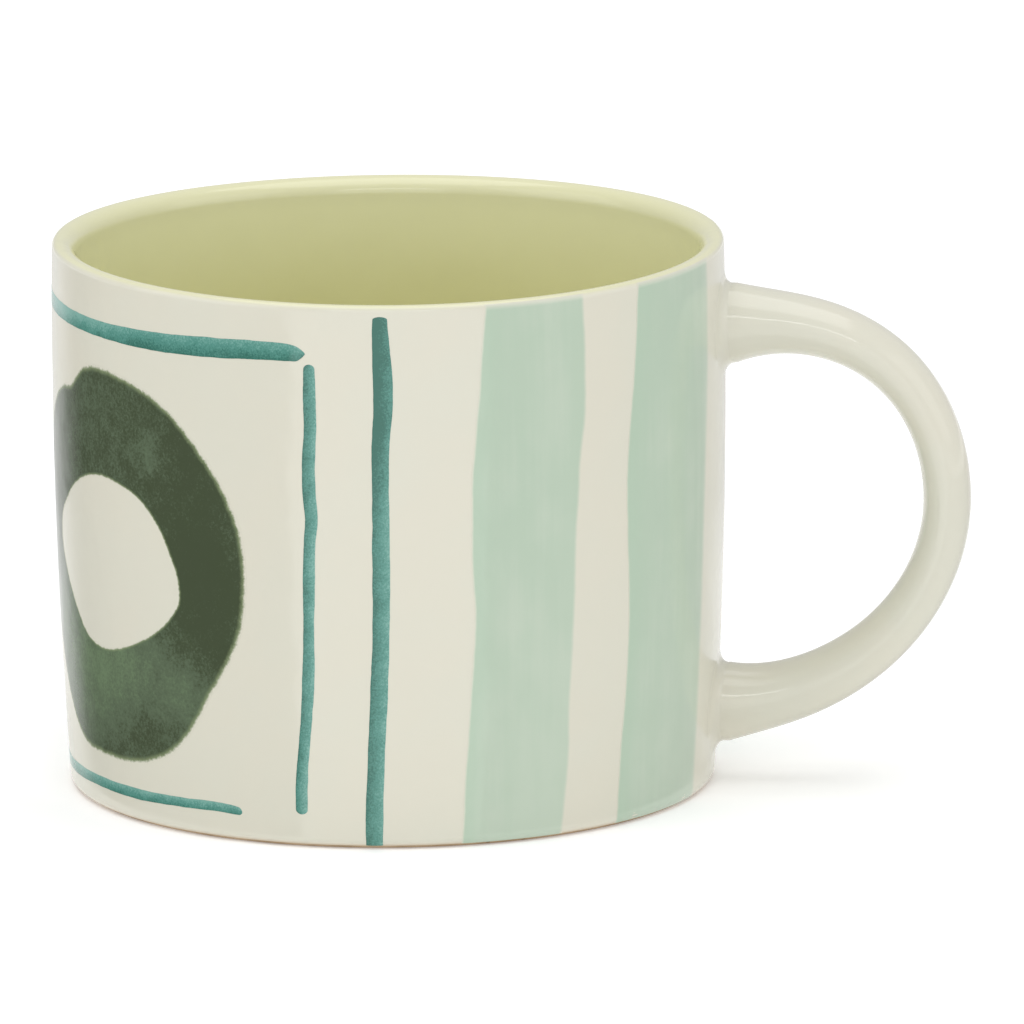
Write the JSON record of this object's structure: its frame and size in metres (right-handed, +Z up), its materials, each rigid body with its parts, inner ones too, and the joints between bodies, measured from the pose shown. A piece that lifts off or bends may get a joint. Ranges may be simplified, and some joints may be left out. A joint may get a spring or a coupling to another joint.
{
  "type": "mug",
  "caption": "Wide, low stoneware mug with a looped handle, a yellow-green glazed inside and a painted outside of pale bands, teal lines and dark green rings.",
  "frame": {"origin": "centre of the foot ring, on the surface that the mug stands on", "axes": "+Z up along the cup's axis, +X towards the handle, -Y towards the painted side that shows the front ring"},
  "size_m": [0.1234, 0.0904, 0.074],
  "materials": {
    "stoneware": "bare fired clay, matt and fine grained",
    "ivory_glaze": "satin gloss",
    "yellow_green_glaze": "satin gloss",
    "mint_colour": "satin gloss, brushed",
    "teal_colour": "satin gloss, brushed",
    "dark_green_colour": "satin gloss, mottled"
  },
  "bodies": {
    "root": {"cup_body": "stoneware", "handle": "stoneware", "upper_joint_slip": "stoneware", "lower_joint_slip": "stoneware", "liner_glaze": "yellow_green_glaze", "outer_glaze": "ivory_glaze", "handle_glaze": "ivory_glaze", "mint_bands": "mint_colour", "teal_lines": "teal_colour", "teal_frame": "teal_colour", "front_ring": "dark_green_colour", "back_ring": "dark_green_colour"}
  },
  "joints": []
}
